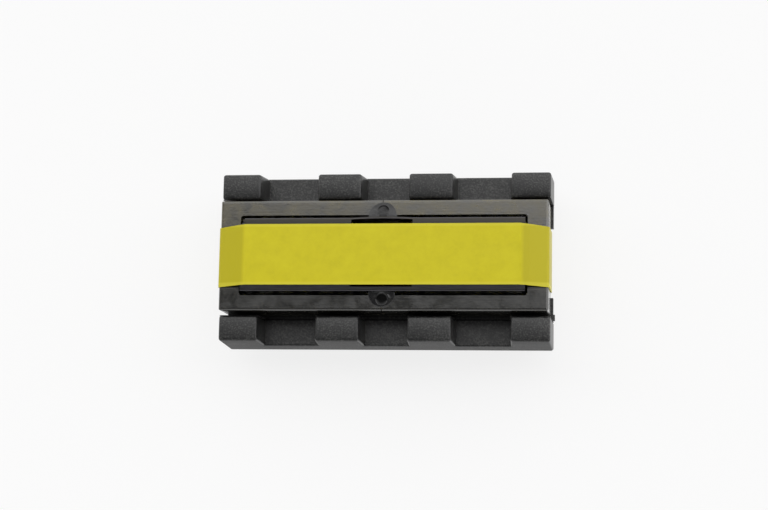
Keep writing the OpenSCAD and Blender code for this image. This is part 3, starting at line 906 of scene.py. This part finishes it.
def make_lead(i):
    """A winding's end: out of its chamber, under the floor's edge, and two turns round its pin."""
    low, high = millimetres(f"lead_{i}")
    pin_low, pin_high = millimetres(f"pin_{i}")
    pin = (pin_low + pin_high) / 2
    side = 1 if pin.y > 0 else -1
    hand = 1 if pin.x > 0 else -1
    out_x = low.x + LEAD_R if hand > 0 else high.x - LEAD_R
    start_y = side * (min(abs(low.y), abs(high.y)) - LEAD_TUCK)
    down_y = side * LEAD_DOWN_Y
    exit_z, run_z = high.z - LEAD_R, low.z + LEAD_R
    foot = Vector((out_x, down_y, run_z))
    run = Vector((pin.x - hand * TURN_ASIDE, side * (RAIL_Y - TURN_IN), run_z)) - foot
    points = [
        (out_x, start_y, exit_z), (out_x, down_y - side * LEAD_EASE, exit_z),
        (out_x, down_y, exit_z - LEAD_BENDS[0]), (out_x, down_y, run_z + LEAD_BENDS[1]),
        (out_x, down_y + side * LEAD_EASE, run_z)]
    points += [tuple(foot + run * share) for share in RUN_SHARES]
    wrap_r = PIN_R + LEAD_R
    start = math.atan2(-side, -hand * WRAP_LEAN)
    for k in range(WRAP_STEPS + 1):
        angle = start + hand * side * k * math.tau / STEPS_A_TURN
        height = run_z + WRAP_RISE * k / WRAP_STEPS
        points.append((pin.x + wrap_r * math.cos(angle), pin.y + wrap_r * math.sin(angle), height))
    lead = round_wire(f"lead_wire_{i}", LEAD_R, points)
    finish_piece(lead, "enamelled_copper", f"lead_{i}")


def make_solder(i):
    """Solder drawn over the wrap: it follows the turns and thins down the pin."""
    low, high = millimetres(f"solder_{i}")
    middle = (low + high) / 2
    foot_r = SOLDER_PROFILE[0][1]
    bpy.ops.object.select_all(action="DESELECT")
    bpy.ops.mesh.primitive_cylinder_add(
        vertices=28, radius=foot_r * MM, depth=(high.z - low.z) * MM, location=middle * MM)
    fillet = bpy.context.object
    fillet.name = f"solder_fillet_{i}"
    bpy.ops.object.transform_apply(location=True, rotation=True, scale=True)
    for height, _ in SOLDER_PROFILE[1:-1]:
        draw_line(fillet, (0, 0, (low.z + height) * MM), (0, 0, 1))
    for height, radius in SOLDER_PROFILE:
        edit_chosen(
            fillet, "vertices", lambda vertex: abs(vertex.co.z / MM - low.z - height) < NEAR)
        grow = radius / foot_r
        bpy.ops.transform.resize(
            value=(grow, grow, 1), center_override=(middle.x * MM, middle.y * MM, 0))
        close_editing()
    for vertex in fillet.data.vertices:
        out = Vector((vertex.co.x - middle.x * MM, vertex.co.y - middle.y * MM, 0))
        if out.length > LUMPS_FROM_R * MM:
            lump = noise.noise(vertex.co * per_metre(LUMP_SPACING) + Vector((i, 0, 0)))
            vertex.co += out.normalized() * LUMP_H * lump * MM
    finish_piece(fillet, "solder", f"solder_{i}")


make_primary()
make_secondary("left_turns", "secondary_left")
make_secondary("right_turns", "secondary_right")
for i in range(1, 9):
    make_lead(i)
    make_solder(i)


# ---------------------------------------------------------------- glue
def make_glue(name, node, side, wall_y, pit_share):
    """A dab of glue on a leg's seam: a slumped dome with a sunken pit, drawn up the cover."""
    low, high = millimetres(node)
    radius = high.x
    middle = side * (max(abs(low.y), abs(high.y)) - radius)
    pit_y = side * PIT_Y
    bpy.ops.object.select_all(action="DESELECT")
    bpy.ops.mesh.primitive_cylinder_add(
        vertices=80, radius=radius * MM, depth=DAB_DEPTH * MM,
        location=(0, middle * MM, (CORE_HIGH.z - DAB_DEPTH / 2) * MM))
    dab = bpy.context.object
    dab.name = name
    bpy.ops.object.transform_apply(location=True, rotation=True, scale=True)
    edit_chosen(dab, "polygons", lambda face: face.normal.z > 0.9)
    for _ in range(DAB_RINGS):
        bpy.ops.mesh.inset(thickness=radius / (DAB_RINGS + 1) * MM)
    close_editing()
    sunken = dab.data.attributes.new("sunken", "FLOAT", "POINT")
    for vertex in dab.data.vertices:
        if vertex.co.z / MM < CORE_HIGH.z - 0.1:
            continue
        x, y = vertex.co.x / MM, vertex.co.y / MM
        # Shares of the way out, from the dab's middle to its edge and from the pit's to its rim
        out = math.hypot(x, y - middle) / radius
        pit = math.hypot(x - PIT_X, y - pit_y) / PIT_R
        lift = DAB_H * max(0.0, 1 - out ** 2.2) ** 0.6
        lift += RIM_H * math.exp(-((pit - RIM_AT) / RIM_W) ** 2) * max(0.0, 1 - out ** 4)
        if pit < 1:
            ahead = 0.5 - 0.5 * (y - pit_y) / PIT_R
            lift -= pit_share * (lift - PIT_FLOOR) * (1 - pit ** 6) * (0.5 + 0.5 * ahead)
            # The share of painted shade in the pit, which the glue's material draws black and less
            # glossy
            sunken.data[vertex.index].value = pit_share * min(1.0, (1 - pit) / PIT_SHADE)
        lift += CLIMB_H * math.exp(-abs(abs(y) - wall_y) / CLIMB_REACH) * max(0.0, 1 - out ** 2)
        lift += SLUMP * noise.noise(Vector((x, y, side)) * 1.7) * (1 - out)
        about = Vector((x / radius, (y - middle) / radius, 3 * side))
        spread = 1 + SPREAD * noise.noise(about * 1.2) * out
        vertex.co.x = x * spread * MM
        vertex.co.y = (middle + (y - middle) * spread) * MM
        vertex.co.z = (CORE_HIGH.z - DAB_SINK + lift) * MM
    cut_away(dab, (0, side * (wall_y - DAB_CUT) * MM, 0), (0, -side, 0))
    finish_piece(dab, "epoxy_glue", node)


make_glue("glue_dab_front", "glue_front", -1, -COVER_LOW.y, 1.0)
make_glue("glue_dab_rear", "glue_rear", 1, COVER_HIGH.y, 0.35)


# ---------------------------------------------------------------- tape
def make_tape():
    """A lap of tape over the cover, down the core's ends and under the coil, a little askew at its
    ends."""
    low, high = millimetres("core_tape")
    half_t = TAPE_T / 2
    over, under = COVER_HIGH.z + half_t, low.z + half_t
    right, left = CORE_HIGH.x + half_t, CORE_LOW.x - half_t
    core_top, core_foot = CORE_HIGH.z + half_t, CORE_LOW.z - half_t
    path = [
        (COVER_HIGH.x, over), (right, core_top), (right, core_foot), (COVER_HIGH.x, under),
        (COVER_LOW.x, under), (left, core_foot), (left, core_top), (COVER_LOW.x, over)]
    bpy.ops.object.select_all(action="DESELECT")
    bpy.ops.mesh.primitive_plane_add(size=1, location=(0, 0, over * MM))
    tape = bpy.context.object
    tape.name = "tape_lap"
    tape.scale = ((COVER_HIGH.x - COVER_LOW.x) * MM, 2 * high.y * MM, 1)
    bpy.ops.object.transform_apply(location=True, rotation=True, scale=True)
    at = Vector((path[0][0], 0, path[0][1]))
    edit_chosen(tape, "edges", lambda edge: all(end.x > 0 for end in points_of(tape, edge)))
    for x, z in path[1:]:
        bpy.ops.mesh.extrude_region_move(
            TRANSFORM_OT_translate={"value": Vector((x - at.x, 0, z - at.z)) * MM})
        at = Vector((x, 0, z))
    close_editing()
    edit_chosen(tape, "vertices", whole)
    bpy.ops.mesh.remove_doubles(threshold=0.001 * MM)
    bpy.ops.mesh.normals_make_consistent(inside=False)
    close_editing()

    def over_cover_end(edge):
        a, b = points_of(tape, edge)
        at_end = abs(abs(a.x) - COVER_HIGH.x * MM) < NEAR * MM
        return abs(a.x - b.x) < NEAR * MM and at_end and a.z > AXIS_Z * MM

    def clear_of_cover_end(edge):
        a, b = points_of(tape, edge)
        clear = abs(abs(a.x) - COVER_HIGH.x * MM) > END_CLEAR * MM
        return abs(a.x - b.x) < NEAR * MM and clear

    for test, radius, steps in ((over_cover_end, COVER_BEND_R, CORNER_STEPS),
                                (clear_of_cover_end, CORE_BEND_R, EDGE_STEPS)):
        edit_chosen(tape, "edges", test)
        bpy.ops.mesh.bevel(offset=radius * MM, segments=steps, affect="EDGES")
        close_editing()
    for y in TAPE_LINES_Y:
        draw_line(tape, (0, y * MM, 0), (0, 1, 0))
    for x in TAPE_LINES_X:
        draw_line(tape, (x * MM, 0, 0), (1, 0, 0), lambda face: face.center.z > AXIS_Z * MM)
    for vertex in tape.data.vertices:
        x, y, z = vertex.co / MM
        if z > AXIS_Z:
            past = max(0.0, abs(x) - COVER_HIGH.x + COVER_BEND_R)
            vertex.co.y -= (REAR_ASKEW if y > 0 else FRONT_ASKEW) * past * MM
            if past == 0:
                ripple = 0.5 + 0.5 * noise.noise(Vector((x, y, 0)) * 0.45)
                vertex.co.z -= TAPE_DIP * ripple * MM
    wall = tape.modifiers.new("wall", "SOLIDIFY")
    wall.thickness = TAPE_T * MM
    wall.offset = 0
    choose(tape)
    bpy.ops.object.modifier_apply(modifier=wall.name)
    finish_piece(tape, "yellow_polyester_tape", "core_tape", 30)


make_tape()


# ---------------------------------------------------------------- floor, light and camera
# The floor's height in metres, the point that the camera looks at and the camera's place round it
FLOOR_Z = CAD_BOX[0].z
AIM = Vector((-0.38, 0.67, 4.0)) * MM
VIEW_AZIMUTH = math.radians(41.92)
VIEW_ELEVATION = math.radians(78.10)
VIEW_ROLL = math.radians(-41.45)
VIEW_DISTANCE = 219.24 * MM
LENS = 84.4

# The light from each way round the part, by the parts of a unit vector that points there: a tall
# white wall behind, less bright at its foot, dim air overhead and in front, and pale air low down
WALL_LIGHT = 1.95
WALL_FOOT_LIGHT = 1.25
FOOT_FROM, FOOT_TO = 0.38, 0.6
WALL_WAY = Vector((0.12, 1.0, 0.0))
WALL_FROM, WALL_TO = 0.12, 0.2
OVERHEAD_LIGHT = 0.2
LOW_LIGHT = 1.0
LOW_FROM, LOW_TO = 0.62, 0.25

# The card's size in metres and the share of plain white in what shows of it, which falls to none
# under the part, between these two places inside its outline, in millimetres
CARD_SIZE = 4.0
CARD_GLOW = 0.8
DARK_INSIDE = 2.5
GLOW_INSIDE = 0.8


def away(azimuth, elevation):
    """Unit vector from the part towards a place round it: azimuth 0 is in front, at -Y."""
    flat = math.cos(elevation)
    return Vector((math.sin(azimuth) * flat, -math.cos(azimuth) * flat, math.sin(elevation)))


def make_camera():
    """A long lens, high up and a little to the front right, turned so that the part lies level."""
    bpy.ops.object.camera_add()
    camera = bpy.context.object
    camera.name = "camera"
    camera.data.lens = LENS
    camera.data.clip_start = 1 * MM
    back = away(VIEW_AZIMUTH, VIEW_ELEVATION)
    facing = (-back).to_track_quat("-Z", "Y").to_matrix().to_4x4()
    place = Matrix.Translation(AIM + back * VIEW_DISTANCE)
    camera.matrix_world = place @ facing @ Matrix.Rotation(VIEW_ROLL, 4, "Z")
    bpy.context.scene.camera = camera


def make_surroundings():
    """The light all round: by height, and brighter behind the part."""
    world = bpy.data.worlds.new("surroundings")
    bpy.context.scene.world = world
    world.use_nodes = True
    world.node_tree.nodes.clear()
    place = add_node(world, "ShaderNodeTexCoord")
    way = add_node(world, "ShaderNodeSeparateXYZ", links={0: (place, "Generated")})
    low = add_node(
        world, "ShaderNodeMapRange",
        {"interpolation_type": "SMOOTHSTEP", "From Min": LOW_FROM, "From Max": LOW_TO,
         "To Min": OVERHEAD_LIGHT, "To Max": LOW_LIGHT},
        {"Value": (way, "Z")})
    behind = add_node(
        world, "ShaderNodeVectorMath", {"operation": "DOT_PRODUCT", 1: WALL_WAY},
        {0: (place, "Generated")})
    wall = add_node(
        world, "ShaderNodeMapRange",
        {"interpolation_type": "SMOOTHSTEP", "From Min": FOOT_FROM, "From Max": FOOT_TO,
         "To Min": WALL_LIGHT, "To Max": WALL_FOOT_LIGHT},
        {"Value": (way, "Y")})
    light = add_node(
        world, "ShaderNodeMapRange",
        {"interpolation_type": "SMOOTHSTEP", "From Min": WALL_FROM, "From Max": WALL_TO},
        {"Value": (behind, "Value"), "To Min": (low, 0), "To Max": (wall, 0)})
    back = add_node(
        world, "ShaderNodeBackground", {"Color": (1, 1, 1, 1)}, {"Strength": (light, 0)})
    add_node(world, "ShaderNodeOutputWorld", links={"Surface": (back, "Background")})


def make_floor():
    """White card that shows as white, with the part's shadow left on it."""
    bpy.ops.object.select_all(action="DESELECT")
    bpy.ops.mesh.primitive_plane_add(size=CARD_SIZE, location=(0, 0, FLOOR_Z))
    floor = bpy.context.object
    floor.name = "floor"
    material = new_material("white_card")
    place = add_node(material, "ShaderNodeTexCoord")
    card = add_node(material, "ShaderNodeBsdfDiffuse", {"Color": linear("#fcfcfc")})
    white = add_node(material, "ShaderNodeEmission", {"Color": (1, 1, 1, 1), "Strength": 1.0})
    rays = add_node(material, "ShaderNodeLightPath")
    seen = add_node(
        material, "ShaderNodeMath", {"operation": "MAXIMUM"},
        {0: (rays, "Is Camera Ray"), 1: (rays, "Is Glossy Ray")})
    shown = add_node(
        material, "ShaderNodeMath", {"operation": "MAXIMUM"},
        {0: (seen, 0), 1: (rays, "Is Transmission Ray")})
    # Under the part the card keeps its own dark
    size = add_node(
        material, "ShaderNodeVectorMath", {"operation": "ABSOLUTE"}, {0: (place, "Object")})
    past = add_node(
        material, "ShaderNodeVectorMath",
        {"operation": "SUBTRACT", 1: (BODY_HALF * MM, BODY_SIDE * MM, 0)}, {0: (size, "Vector")})
    parts = add_node(material, "ShaderNodeSeparateXYZ", links={0: (past, "Vector")})
    clear = add_node(
        material, "ShaderNodeMath", {"operation": "MAXIMUM"}, {0: (parts, "X"), 1: (parts, "Y")})
    open_air = add_node(
        material, "ShaderNodeMapRange",
        {"From Min": -DARK_INSIDE * MM, "From Max": -GLOW_INSIDE * MM, "To Max": CARD_GLOW},
        {"Value": (clear, 0)})
    share = add_node(
        material, "ShaderNodeMath", {"operation": "MULTIPLY"}, {0: (shown, 0), 1: (open_air, 0)})
    blend = add_node(
        material, "ShaderNodeMixShader", links={0: (share, 0), 1: (card, 0), 2: (white, 0)})
    add_node(material, "ShaderNodeOutputMaterial", links={"Surface": (blend, 0)})
    floor.data.materials.append(material)


make_camera()
make_surroundings()
make_floor()

bpy.context.view_layer.update()
bpy.context.scene.view_settings.view_transform = "Standard"
